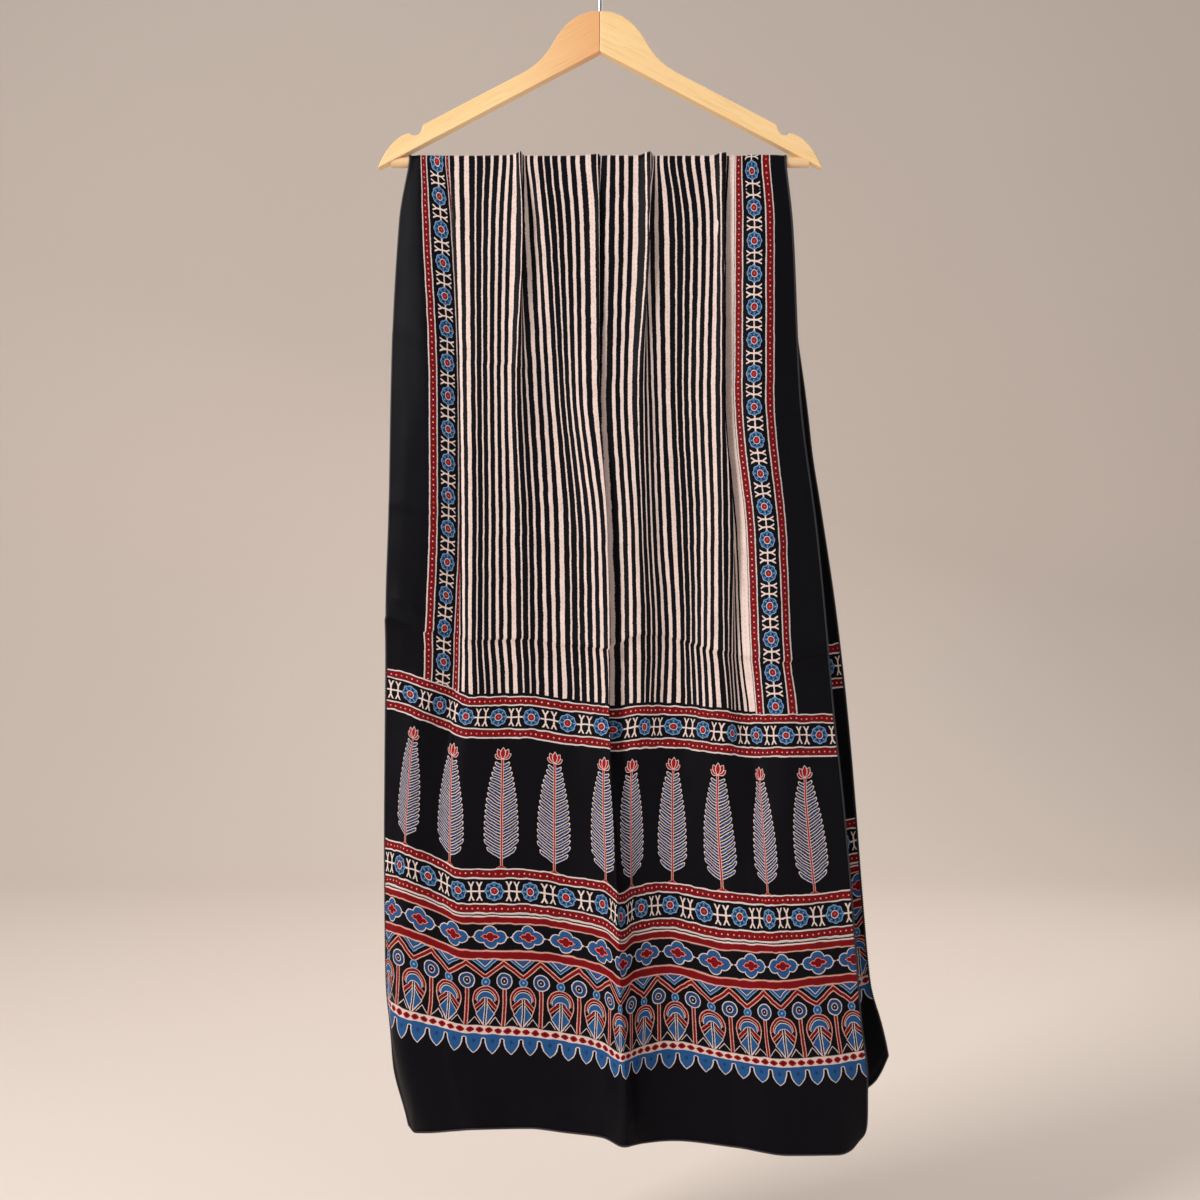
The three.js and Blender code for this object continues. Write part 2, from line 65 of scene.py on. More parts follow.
# The cloth's lines, as in the solid, with the under layers of its pleats added. Each has its
# place across the flat cloth, where it hangs from side to side, and how far it stands out.
STATIONS = [975, 913, 749, 609, 502, 437.8, 350, 263, 135, 80, 0]
LINES = [
    ("left edge", 0, [-190, -200, -208, -210.4, -213.5, -213.7, -214.6, -215.2, -214, -210.5, -191],
     [0, -1, 0, 2, 3, 3, 0, -8, -22, -28, -26]),
    ("left turn", 20, [-185.5, -190, -190.5, -191.5, -194.5, -195.5, -199, -203.5, -207.5, -208.2, -184],
     [0, 2, 5, 6, 6, 6, 6, 2, -8, -14, -13]),
    ("left outer band", 39.5,
     [-179.8, -178.6, -172.3, -172, -175.5, -177.5, -187.5, -193, -193, -197.6, -172],
     [0.5, 4, 8, 7, 7, 8, 10, 10, 3, 0, -3]),
    ("groove", 78, [-154.6, -149.5, -142.6, -141.8, -145.4, -147.7, -156.5, -158.5, -157.7, -161.7, -145],
     [0, -1, -1, -2, -2, -2, 1, 5, 6, 5, 4]),
    ("groove under", 83.5,
     [-152.8, -146.8, -139.6, -138.4, -142.2, -144.4, -152.8, -154.5, -152.7, -156.5, -141],
     [0, -2, -2, -3, -2.5, -2.5, 2.5, 6, 7, 5.5, 5.3]),
    ("groove lip", 88.3,
     [-150.4, -147.6, -141.4, -140, -139.6, -141, -149.8, -151, -148.5, -152.2, -137.5],
     [0.2, 1.5, 1.5, 1, 2, 2, 4.5, 7.5, 8, 6.5, 6.5]),
    ("field edge", 94, [-143.5, -142.1, -138.6, -136.8, -136.3, -137.2, -146, -147, -143.5, -147, -133.5],
     [0, 3, 4, 4, 5, 5, 6, 9, 9, 7, 8]),
    ("first broad stripe", 103.5,
     [-133.4, -132.8, -130.9, -129.6, -130.1, -129.3, -138.5, -139, -133.7, -137.1, -125],
     [0, 4, 7, 7, 8, 8, 9, 10, 9, 7, 9]),
    ("left pleat foot", 151, [-87, -89.5, -92.5, -89.8, -88.8, -87, -89, -89.8, -86.7, -89.7, -84],
     [1, 8, 9, 5, 5, 5, 8, 9, 8, 7, 3]),
    ("left pleat crest", 166, [-79.5, -77, -81.4, -76, -74.6, -73.4, -74.4, -75, -71.7, -74.6, -70],
     [4.5, 12, 12, 6, 6, 6, 8, 9, 8, 7, 5]),
    ("left pleat under", 179, [-77.3, -79.5, -72, -64.5, -62.5, -61.5, -62.5, -63, -60, -62, -58.5],
     [2.2, 6, 7.5, 5, 5, 5.5, 8, 9, 8, 7, 6.5]),
    ("left pleat back", 190, [-74.2, -69, -61, -53.5, -51, -49.5, -50.7, -51, -48, -49.8, -47.5],
     [0, 0, 5, 5, 5, 6, 8, 9, 8, 7, 8]),
    ("third broad stripe", 204.5, [-64.5, -58.2, -48, -38.5, -37.1, -35, -37, -37, -33.8, -35.2, -33],
     [0, 3, 3, 5, 6, 6, 9, 9, 8, 8, 10]),
    ("ridge flank", 245, [-23.2, -19, -16, -1.2, 1.4, 3, 0.5, 3.5, 2.5, 0.5, 2.5],
     [0, 2, 8, 12, 13, 14, 15, 18, 18, 20, 22]),
    ("ridge crest", [266, 265, 262.5, 257.5, 256.5, 253.5, 264, 270, 279, 283.5, 286],
     [-1.5, -0.7, -0.2, 7.5, 9.5, 9, 12.5, 17, 22.3, 25.4, 28],
     [2, 6, 10, 14, 16, 17, 22, 34, 40, 42, 42]),
    ("ridge back", [271, 272, 275, 276, 275, 275, 279, 276, 282, 286.5, 289],
     [0.6, -1.5, -2, 5.5, 7.5, 7.8, 13.5, 18.4, 23.5, 26.8, 29.4],
     [0, 1, 2, 2, 2, 2, 10, 28, 38, 40, 40]),
    ("ridge far side", [279, 279, 280, 281, 281, 281, 287, 285, 290, 293, 295.5],
     [8.8, 7.5, 6, 14, 16.3, 15.9, 19.6, 23, 28.6, 30.6, 33.6],
     [0.5, 1.5, 3.5, 3, 4, 4, 9, 22, 32, 35, 36]),
    ("right pleat foot", 305.5, [35.5, 35.4, 30, 36.7, 39.1, 38.8, 34, 33.5, 39, 37.9, 40],
     [0, 3, 5, 8, 10, 9, 9, 14, 20, 24, 27]),
    ("right pleat crest", 319.5, [50, 50, 42.3, 45.7, 50, 48, 45, 44, 49, 48.7, 51],
     [4.5, 10, 9, 7, 7, 7, 6, 10, 13, 17, 20]),
    ("right pleat under", 332, [52.4, 45.5, 49, 53.5, 58.5, 56.5, 53.5, 53, 59, 59.5, 62],
     [2.2, 4.5, 6, 4.5, 4.5, 4.5, 4.5, 7, 9, 12.5, 16]),
    ("right pleat back", 344, [55, 54, 57.3, 62.6, 68.6, 66.3, 63, 63, 70, 71.5, 74],
     [0, 0, 3, 2, 2, 2, 3, 4, 5, 8, 12]),
    ("sixth broad stripe", 356, [61.5, 66.7, 68.3, 74.4, 78.8, 78.8, 73.7, 73.7, 80.7, 82.8, 85],
     [0, 1, 2, 2, 2, 2, 3, 3, 4, 6, 10]),
    ("seventh broad stripe", 406.5, [112, 115.8, 113.5, 116.5, 116, 118.7, 116.3, 121.4, 129.8, 133.3, 135],
     [0, 4, 10, 12, 14, 14, 14, 14, 14, 13, 14]),
    ("fold start", 415.3, [120.3, 121.2, 121.2, 122.8, 124, 127.8, 125.5, 131.2, 138.2, 141.5, 144.2],
     [2.8, 7, 13, 14, 15, 15, 16, 18, 18, 17, 18]),
    ("fold lip", [420.5, 420.5, 421, 432, 432, 432, 432, 432, 432, 432, 432],
     [126.3, 125.2, 124.4, 134.2, 132.8, 136, 138.8, 146, 153.6, 158, 160.5],
     [3.6, 8.5, 13.5, 12, 11, 11.5, 14.8, 20.5, 23, 22, 21.3]),
    ("fold under", [436, 436, 436, 441, 441, 441, 441, 441, 441, 441, 441],
     [118, 114, 114.5, 133.2, 135.8, 141, 147.5, 154, 162, 167, 169.5],
     [0.9, 2.6, 5.5, 5.5, 7.5, 9, 14, 22.5, 26, 25, 23]),
    ("fold back", 450.5, [127.6, 124.5, 124.2, 136.2, 140.9, 148.3, 156.2, 162.2, 169.8, 176, 178.3],
     [0, 1, 2.5, 5, 7, 9, 14, 24, 28, 27, 24]),
    ("right inner band", 461, [134.6, 134, 133.3, 146, 150, 155.5, 161.5, 168.2, 180, 186.2, 189],
     [0, 4, 7, 9, 11, 13, 18, 27, 29, 28, 25]),
    ("right rosettes", 499, [161.3, 165.6, 165.5, 178.5, 183, 188.3, 192, 200.5, 216, 223.3, 226],
     [1, 8, 14, 16, 18, 20, 26, 28, 24, 23, 20]),
    ("right outer band", 510.5, [171, 175.6, 175.6, 188, 192.3, 199, 203, 212, 227, 234.3, 237],
     [1, 6, 11, 12, 14, 17, 23, 25, 21, 20, 17]),
    ("right edge", WIDTH, [185.4, 192.3, 200, 217.5, 228, 233.7, 243, 251, 261.3, 267.3, 267],
     [0, 2, 2, 3, 5, 6, 12, 14, 8, 4, -2]),
]

# How far below the bar's axis the printed borders hang, from the top border to the hem.
LEVELS = [0, 78, 107.5, 184, 263, 393, 437.8]
DROPS = [
    (0, [962.5, 856.5, 833.5, 757.5, 675.9, 546.5, 505.5]),
    (20, [969.5, 865.5, 839.5, 760.5, 679, 550.5, 509]),
    (39.5, [969.7, 875.8, 846.5, 765, 683, 557, 515.5]),
    (78, [967.8, 883, 855.5, 778.5, 697, 568.5, 525.5]),
    (103.5, [966.5, 889, 861.8, 786.8, 706.3, 576, 534.3]),
    (166, [965.5, 892.5, 865.3, 788.1, 706.8, 576.5, 533.2]),
    (204.5, [969.8, 897.8, 870.5, 792.5, 713, 582.1, 538.8]),
    (245, [974.5, 905.5, 879, 802.5, 719.5, 586, 543.1]),
    (279, [984, 917.5, 891, 815.3, 731.5, 590, 546]),
    (305.5, [980.5, 910.8, 885, 806.5, 724.5, 587.1, 542.5]),
    (344, [977.5, 905.5, 878.3, 801.8, 719.8, 585.9, 542.9]),
    (406.5, [984.2, 913.5, 890, 815, 728.8, 591.5, 547.8]),
    (461, [992.5, 923.5, 896.1, 817.7, 733, 595.5, 551.5]),
    (510.5, [992, 920.7, 893, 813, 731.7, 594.8, 551.3]),
    (532, [987, 917.5, 890, 811.2, 729, 594.5, 551.2]),
    (WIDTH, [975, 914.5, 887.5, 809.7, 727, 594.3, 551.2]),
]

# The back panel, by share of its length.
BACK_SHARES = [0, 0.07, 0.235, 0.307, 0.375, 0.485, 0.6, 0.7, 0.8, 0.894, 0.945, 1]
BACK_LEFT = [-190, -196, -199, -198.5, -198, -197, -195, -192, -185, -174, -168, -158]
BACK_RIGHT = [185.4, 193, 205, 210.5, 220, 235, 247, 255, 262, 270, 279, 288]
BACK_HEM = ([0, 270, 525, WIDTH], [955, 940, 925.5, 920])
BACK_CORNER = ([0, 520, 532, 541, WIDTH], [0, 0, 4.5, 13, 27])
CORNER_SHARE = 0.88
BACK_WAVES = [(128, 0.35, 17), (205, 0.1, 9)]
BACK_SPREAD = 0.3

# Small ripples: depth, stretch along the cloth, size across it, seed.
RIPPLES = [(0.9, 0.25, 34, 2.0), (0.5, 0.5, 16, 7.0)]
RIPPLE_START = 60
BACK_RIPPLE = (0.8, 260, 30, 11.0)
BACK_RIPPLE_START = 0.06

# Creases of the front panel: their run over the flat cloth, their height, and how far they
# reach below and above. The first is the sharp one left by folding the cloth for storage.
CREASES = [
    ([0, 36, 65, 104, 262, 276, 300, 330, 360, 406, 461, 505, 530, WIDTH],
     [489, 485, 493, 495.5, 496.5, 501, 508, 509, 505, 499, 496, 491, 497, 500], 4.2, 4, 19),
    ([500, 515, 548], [478, 484, 492], 2.4, 5, 8),
    ([508, 530, 549], [459, 455, 452], 1.1, 3, 8),
    ([0, 103, 220, 300, 406, WIDTH], [776, 774, 763, 768, 771, 772], 1.5, 3, 10),
    ([0, 112, 240, 320, WIDTH], [603, 601.5, 599.7, 602.8, 604], 1.3, 3, 9),
    ([330, 380, 406, 424], [930, 933, 936, 937], 0.7, 3, 8),
    ([14, 26, 39], [3, 15, 36], 1.5, 4, 6),
    ([285, 340, 440], [21, 28, 19], 1.1, 4, 10),
    ([300, 350, 470], [9, 12, 8], 0.8, 3, 6),
    ([120, 170, 200], [33, 40, 58], 0.7, 3, 6),
    ([3, 20, 38], [510, 507, 497], 1.6, 4, 9),
    ([512, 530, 548], [540, 534, 528], 1.2, 4, 9),
]
CREASE_FADE = 9
CREASE_JOG = 0.42
JOG_DROP = 2.2
JOG_REACH = 16

# How the lower corners of the front panel draw in: the right one over its last stretch, the
# left edge a little above its corner.
RIGHT_CORNER_START = 515
RIGHT_CORNER_DRAW = 5
RIGHT_CORNER_HEIGHT = 7
LEFT_DRAW = 4
LEFT_DRAW_STATION = 36
LEFT_DRAW_HEIGHT = 22
LEFT_DRAW_WIDTH = 15

# The rolled hem's beads: spacing, half width, half thickness, and the share of a bead and of
# the dip after it.
BEAD_STEP = 1.15
BEAD_WIDTH = 1.35
BEAD_THICKNESS = 1.0
BEAD_SHARE = 1.1
DIP_SHARE = 0.5


def pchip(xs, ys, at):
    """Values at the places at of a curve through (xs, ys) that never swings past them."""
    xs, ys, at = np.asarray(xs, float), np.asarray(ys, float), np.asarray(at, float)
    step = np.diff(xs)
    slope = np.diff(ys) / step
    before, after = slope[:-1], slope[1:]
    total = np.where(before + after == 0, 1, before + after)
    inner = np.where(before * after > 0, 2 * before * after / total, 0)
    tangent = np.concatenate([slope[:1], inner, slope[-1:]])
    i = np.clip(np.searchsorted(xs, at, side="right") - 1, 0, len(step) - 1)
    h = step[i]
    t = np.clip((at - xs[i]) / h, 0, 1)
    start = (1 + 2 * t) * (1 - t) ** 2 * ys[i] + t * (1 - t) ** 2 * h * tangent[i]
    return start + t * t * (3 - 2 * t) * ys[i + 1] + t * t * (t - 1) * h * tangent[i + 1]


def smooth_step(x):
    t = np.clip(x, 0, 1)
    return t * t * (3 - 2 * t)


def at_station(values, station):
    if not isinstance(values, list):
        return values
    return float(pchip(STATIONS[::-1], values[::-1], [station])[0])


def lines_at(station):
    flats = [at_station(line[1], station) for line in LINES]
    sides = [at_station(line[2], station) for line in LINES]
    outs = [at_station(line[3], station) for line in LINES]
    return flats, sides, outs


def border_drop(flat, level):
    drops = [float(pchip(LEVELS, row[1], [level])[0]) for row in DROPS]
    return pchip([row[0] for row in DROPS], drops, flat)


def seen(side, drop, out):
    """Points read on the bar's plane, standing out from it towards the front."""
    share = (EYE_DISTANCE - out) / EYE_DISTANCE
    height = BAR_AXIS - EYE_DROP + (EYE_DROP - drop) * share
    return np.stack([side * share, -out + 0 * side, height + 0 * side], axis=-1)


TOP_DROP = [float(pchip(LEVELS, row[1], [BORDER])[0]) for row in DROPS]


def bar_length(flat):
    """How much cloth hangs in front of the bar, from the hem up to its axis."""
    return BORDER + pchip([row[0] for row in DROPS], TOP_DROP, flat)


def soft_noise(flat, along, size, seed):
    return np.array([noise.noise(Vector((u / size, along / size, seed))) for u in flat])


def front_row(flat, station):
    flats, sides, outs = lines_at(station)
    upper = (station - BORDER) / (BAR_STATION - BORDER)
    top = border_drop(flat, BORDER)
    if upper > 0:
        drop = top * (1 - upper)
        along = BORDER + upper * top
    else:
        drop = border_drop(flat, station)
        along = np.full_like(flat, station)
    side = pchip(flats, sides, flat)
    out = WRAP_RADIUS + pchip(flats, outs, flat)
    for run, places, depth, below, above in CREASES:
        gap = along - pchip(run, places, flat)
        fade = np.clip((flat - run[0]) / CREASE_FADE + (run[0] == 0), 0, 1)
        fade = fade * np.clip((run[-1] - flat) / CREASE_FADE + (run[-1] == WIDTH), 0, 1)
        rise = depth * fade * np.exp(-np.abs(gap) / np.where(gap > 0, above, below))
        out = out + rise
        jog = CREASE_JOG * depth * fade * (0.6 + 0.4 * np.sin(flat / 19))
        side = side - jog * smooth_step(-gap / JOG_DROP) * np.exp(np.minimum(gap, 0) / JOG_REACH)
    corner = smooth_step((flat - RIGHT_CORNER_START) / (WIDTH - RIGHT_CORNER_START))
    side = side - RIGHT_CORNER_DRAW * corner * math.exp(-station / RIGHT_CORNER_HEIGHT)
    height = math.exp(-((station - LEFT_DRAW_STATION) / LEFT_DRAW_HEIGHT) ** 2)
    side = side - LEFT_DRAW * np.exp(-flat / LEFT_DRAW_WIDTH) * height
    fade = min(1, (BAR_STATION - station) / RIPPLE_START)
    for depth, stretch, size, seed in RIPPLES:
        out = out + fade * depth * soft_noise(flat, station * stretch, size, seed)
    return seen(side, drop, out), along


def bar_row(flat, turn):
    flats, sides, outs = lines_at(BAR_STATION)
    radius = WRAP_RADIUS + pchip(flats, outs, flat)
    point = seen(pchip(flats, sides, flat), 0, radius * math.cos(turn))
    point[:, 2] = BAR_AXIS + radius * math.sin(turn)
    return point, bar_length(flat) + WRAP_RADIUS * turn


def back_row(flat, share):
    flats, sides, outs = lines_at(BAR_STATION)
    spread = float(smooth_step(share / BACK_SPREAD))
    left = float(pchip(BACK_SHARES, BACK_LEFT, [share])[0])
    right = float(pchip(BACK_SHARES, BACK_RIGHT, [share])[0])
    even = left + (right - left) * flat / WIDTH
    side = pchip(flats, sides, flat) * (1 - spread) + even * spread
    out = WRAP_RADIUS + pchip(flats, outs, flat) * (1 - spread)
    for pitch, shift, depth in BACK_WAVES:
        wave = 0.5 - 0.5 * np.cos(2 * np.pi * (flat / pitch + shift))
        out = out + depth * wave * float(smooth_step(share))
    depth, stretch, size, seed = BACK_RIPPLE
    out = out + min(1, share / BACK_RIPPLE_START) * depth * soft_noise(flat, share * stretch, size, seed)
    start = bar_length(flat) + WRAP_RADIUS * math.pi
    lift = pchip(*BACK_CORNER, flat) * float(smooth_step((share - CORNER_SHARE) / (1 - CORNER_SHARE)))
    point = seen(side, pchip(*BACK_HEM, flat) * share - lift, -out)
    return point, start + (LENGTH - start) * share


def columns():
    """Places across the flat cloth, closer together where it folds sharply."""
    folds = [(0, 16, 2.5), (76, 96, 1.8), (152, 200, 1.9), (250, 296, 1.8), (306, 350, 2),
             (412, 456, 2), (534, 550, 2.5)]
    places = [0.0]
    while places[-1] < WIDTH:
        step = min([4.0] + [fine for low, high, fine in folds if low <= places[-1] < high])
        places.append(places[-1] + step)
    return np.array(places) * WIDTH / places[-1]


def stations():
    """Places up the front, closer together at the hem, the creases and the bar."""
    fine = [(0, 40, 4), (478, 518, 2.1), (598, 612, 4), (760, 779, 4), (930, 975, 5)]
    places = [0.0]
    while places[-1] < BAR_STATION - 6:
        step = min([8.4] + [size for low, high, size in fine if low <= places[-1] < high])
        places.append(places[-1] + step)
    return [p for p in places if p < BAR_STATION - 2]


def cloth_surface():
    """The cloth's middle surface: points and places along the flat cloth, row by row."""
    flat = columns()
    made = [front_row(flat, station) for station in stations()]
    made += [bar_row(flat, math.pi * k / BAR_STEPS) for k in range(BAR_STEPS + 1)]
    made += [back_row(flat, share) for share in np.linspace(0, 1, BACK_ROWS + 1)[1:]]
    return flat, np.array([m[0] for m in made]), np.array([m[1] for m in made])


def surface_normals(points):
    across = np.gradient(points, axis=1)
    along = np.gradient(points, axis=0)
    normals = np.cross(across, along)
    return normals / np.linalg.norm(normals, axis=2, keepdims=True)


def mesh_object(name, vertices, faces, smooth=True):
    mesh = bpy.data.meshes.new(name)
    mesh.from_pydata([tuple(v) for v in vertices], [], faces)
    mesh.polygons.foreach_set("use_smooth", [smooth] * len(mesh.polygons))
    mesh.update()
    made = bpy.data.objects.new(name, mesh)
    bpy.context.scene.collection.objects.link(made)
    return made


def cloth_object():
    flat, points, along = cloth_surface()
    normals = surface_normals(points)
    rows, count = along.shape
    layers = [points + normals * SHEET / 2, points - normals * SHEET / 2]
    vertices = np.concatenate([layer.reshape(-1, 3) for layer in layers]) * MM

    def at(layer, r, c):
        return (layer * rows + r) * count + c

    faces = []
    for r in range(rows - 1):
        for c in range(count - 1):
            faces.append((at(0, r, c), at(0, r, c + 1), at(0, r + 1, c + 1), at(0, r + 1, c)))
            faces.append((at(1, r, c), at(1, r + 1, c), at(1, r + 1, c + 1), at(1, r, c + 1)))
        faces.append((at(0, r, 0), at(0, r + 1, 0), at(1, r + 1, 0), at(1, r, 0)))
        last = count - 1
        faces.append((at(0, r + 1, last), at(0, r, last), at(1, r, last), at(1, r + 1, last)))
    for c in range(count - 1):
        last = rows - 1
        faces.append((at(0, 0, c + 1), at(0, 0, c), at(1, 0, c), at(1, 0, c + 1)))
        faces.append((at(0, last, c), at(0, last, c + 1), at(1, last, c + 1), at(1, last, c)))
    made = mesh_object("draped_cloth", vertices, faces)
    corner = np.empty(len(made.data.loops), dtype=np.int64)
    made.data.loops.foreach_get("vertex_index", corner)
    place = corner % (rows * count)
    across = flat[place % count]
    lengthwise = along.reshape(-1)[place]
    printed = made.data.uv_layers.new(name="print")
    printed.data.foreach_set("uv", np.stack([across, lengthwise], axis=1).astype(np.float32).ravel() * MM)
    # A second map lays the two halves of the length side by side, so that a texture made
    # from the print has an even grain.
    baked = made.data.uv_layers.new(name="OFBake")
    split = len(stations()) + BAR_STEPS // 2
    face_of = np.repeat(np.arange(len(made.data.polygons)), 4)
    row_of = (place // count).reshape(-1, 4).min(axis=1)[face_of]
    second = row_of >= split
    start = np.where(second, LENGTH / 2 - 6, 0)
    x = np.where(second, 0.502, 0.004) + across / WIDTH * 0.494
    y = 0.004 + (lengthwise - start) / (LENGTH / 2 + 22) * 0.99
    baked.data.foreach_set("uv", np.stack([x, y], axis=1).astype(np.float32).ravel())
    return made, points, normals


def hem_object(points, normals):
    """A thin rolled hem right round the cloth, drawn in by its stitches."""
    loop = np.concatenate([points[0, :-1], points[:-1, -1], points[-1, :0:-1], points[:0:-1, 0]])
    up = np.concatenate([normals[0, :-1], normals[:-1, -1], normals[-1, :0:-1], normals[:0:-1, 0]])
    closed = np.vstack([loop, loop[:1]])
    length = np.concatenate([[0], np.cumsum(np.linalg.norm(np.diff(closed, axis=0), axis=1))])
    count = int(length[-1] / BEAD_STEP) // 2 * 2
    along = np.linspace(0, length[-1], count, endpoint=False)
    centre = np.stack([np.interp(along, length, closed[:, k]) for k in range(3)], axis=1)
    facing = np.vstack([up, up[:1]])
    normal = np.stack([np.interp(along, length, facing[:, k]) for k in range(3)], axis=1)
    ahead = np.roll(centre, -1, axis=0) - np.roll(centre, 1, axis=0)
    ahead /= np.linalg.norm(ahead, axis=1, keepdims=True)
    side = np.cross(ahead, normal)
    side /= np.linalg.norm(side, axis=1, keepdims=True)
    normal = np.cross(side, ahead)
    sides = 6
    pulse = np.where(np.arange(count) % 2 == 0, BEAD_SHARE, DIP_SHARE)[:, None]
    vertices = []
    for k in range(sides):
        angle = 2 * math.pi * k / sides
        offset = BEAD_WIDTH * math.cos(angle) * side + BEAD_THICKNESS * math.sin(angle) * normal
        vertices.append(centre + pulse * offset)
    vertices = np.stack(vertices, axis=1).reshape(-1, 3) * MM
    faces = []
    for r in range(count):
        for k in range(sides):
            a, b = r * sides, (r + 1) % count * sides
            faces.append((a + k, a + (k + 1) % sides, b + (k + 1) % sides, b + k))
    return mesh_object("cloth_hem", vertices, faces)


# Materials
def colour(red, green, blue):
    """A colour given as it looks, from 0 to 255 a channel."""
    def linear(c):
        c = c / 255
        return c / 12.92 if c <= 0.04045 else ((c + 0.055) / 1.055) ** 2.4
    return (linear(red), linear(green), linear(blue), 1.0)


BLACK = colour(9, 8, 14)
CREAM = colour(226, 204, 196)
PALE = colour(212, 196, 192)
SALMON = colour(214, 158, 144)
RED = colour(116, 12, 18)
ORANGE = colour(222, 92, 60)
BLUE = colour(36, 80, 130)
SKY = colour(124, 158, 188)
NAVY = colour(14, 26, 56)
DARK_RED = colour(84, 6, 14)
LOTUS_RED = colour(150, 20, 24)
BRIGHT_RED = colour(160, 26, 28)
TRUNK_RED = colour(140, 24, 26)
DUSTY_PINK = colour(216, 184, 174)
LEAF_DARK = colour(16, 34, 70)
LEAF_LIGHT = colour(48, 92, 144)
SOFT = 0.35


class Value:
    """A number worked out for each point of a surface."""

    def __init__(self, sheet, socket):
        self.sheet, self.socket = sheet, socket

    def __add__(self, other):
        return self.sheet.math("ADD", self, other)

    __radd__ = __add__

    def __sub__(self, other):
        return self.sheet.math("SUBTRACT", self, other)

    def __rsub__(self, other):
        return self.sheet.math("SUBTRACT", other, self)

    def __mul__(self, other):
        return self.sheet.math("MULTIPLY", self, other)

    __rmul__ = __mul__

    def __truediv__(self, other):
        return self.sheet.math("DIVIDE", self, other)

    def __abs__(self):
        return self.sheet.math("ABSOLUTE", self)


class Finish:
    """A material whose colours are worked out by sums on the surface's own places."""

    def __init__(self, name):
        self.material = bpy.data.materials.new(name)
        self.material.use_nodes = True
        self.tree = self.material.node_tree
        self.tree.nodes.clear()

    def node(self, kind, **settings):
        made = self.tree.nodes.new(kind)
        for key, value in settings.items():
            setattr(made, key, value)
        return made

    def feed(self, socket, value):
        if isinstance(value, Value):
            self.tree.links.new(value.socket, socket)
        elif isinstance(value, bpy.types.NodeSocket):
            self.tree.links.new(value, socket)
        else:
            socket.default_value = value

    def math(self, kind, *values, clamp=False):
        made = self.node("ShaderNodeMath", operation=kind, use_clamp=clamp)
        for socket, value in zip(made.inputs, values):
            self.feed(socket, value)
        return Value(self, made.outputs[0])

    def wrap(self, value, pitch):
        return self.math("WRAP", value, pitch / 2, -pitch / 2)

    def far(self, a, b):
        return self.math("SQRT", self.math("MULTIPLY_ADD", a, a, b * b))

    def most(self, *values):
        found = values[0]
        for value in values[1:]:
            found = self.math("MAXIMUM", found, value)
        return found

    def least(self, *values):
        found = values[0]
        for value in values[1:]:
            found = self.math("MINIMUM", found, value)
        return found

    def inside(self, distance, soft=SOFT):
        """1 where distance is below zero, 0 above it."""
        return self.math("MULTIPLY_ADD", distance, -1 / soft, 0.5, clamp=True)

    def choose(self, share, low, high):
        made = self.node("ShaderNodeMix", data_type="FLOAT")
        for index, value in ((0, share), (2, low), (3, high)):
            self.feed(made.inputs[index], value)
        return Value(self, made.outputs[0])

    def over(self, ground, paint, cover):
        made = self.node("ShaderNodeMix", data_type="RGBA")
        for index, value in ((0, cover), (6, ground), (7, paint)):
            self.feed(made.inputs[index], value)
        return made.outputs[2]

    def rings(self, distance, *steps, soft=SOFT):
        """Colour and cover by distance: each step is (limit, colour), and past the last there
        is nothing. A colour of None is a gap."""
        low, high = steps[0][0] - 1, steps[-1][0] + 1
        ramp = self.node("ShaderNodeValToRGB").color_ramp
        shades = [(s[1] if s[1] else (0, 0, 0, 0)) for s in steps] + [(0, 0, 0, 0)]
        stops = []
        for (limit, _), before, after in zip(steps, shades, shades[1:]):
            clear_before, clear_after = before[3] == 0, after[3] == 0
            kept = after[:3] if clear_before else before[:3]
            stops.append(((limit - soft / 2 - low) / (high - low), (*kept, before[3])))
            kept = before[:3] if clear_after else after[:3]
            stops.append(((limit + soft / 2 - low) / (high - low), (*kept, after[3])))
        while len(ramp.elements) < len(stops):
            ramp.elements.new(1)
        for element, (place, shade) in zip(ramp.elements, stops):
            element.position = place
            element.color = shade
        found = self.tree.nodes[-1]
        share = self.math("MULTIPLY_ADD", distance, 1 / (high - low), -low / (high - low))
        self.feed(found.inputs[0], share)
        return found.outputs[0], Value(self, found.outputs[1])

    def lay(self, ground, rings, mask=None):
        paint, cover = rings
        return self.over(ground, paint, cover * mask if mask is not None else cover)

    def noise(self, place, scale, detail=2.0, rough=0.5, output=0):
        made = self.node("ShaderNodeTexNoise", noise_dimensions="3D")
        self.feed(made.inputs["Vector"], place)
        made.inputs["Scale"].default_value = scale
        made.inputs["Detail"].default_value = detail
        made.inputs["Roughness"].default_value = rough
        return made.outputs[output] if output else Value(self, made.outputs[0])

    def place(self, x, y, z=0.0):
        made = self.node("ShaderNodeCombineXYZ")
        for socket, value in zip(made.inputs, (x, y, z)):
            self.feed(socket, value)
        return made.outputs[0]

    def shader(self, **inputs):
        made = self.node("ShaderNodeBsdfPrincipled")
        for key, value in inputs.items():
            self.feed(made.inputs[key.replace("_", " ")], value)
        out = self.node("ShaderNodeOutputMaterial")
        self.tree.links.new(made.outputs[0], out.inputs[0])
        return made

    def bump(self, height, strength, distance):
        made = self.node("ShaderNodeBump")
        made.inputs["Strength"].default_value = strength
        made.inputs["Distance"].default_value = distance
        self.feed(made.inputs["Height"], height)
        return made.outputs[0]


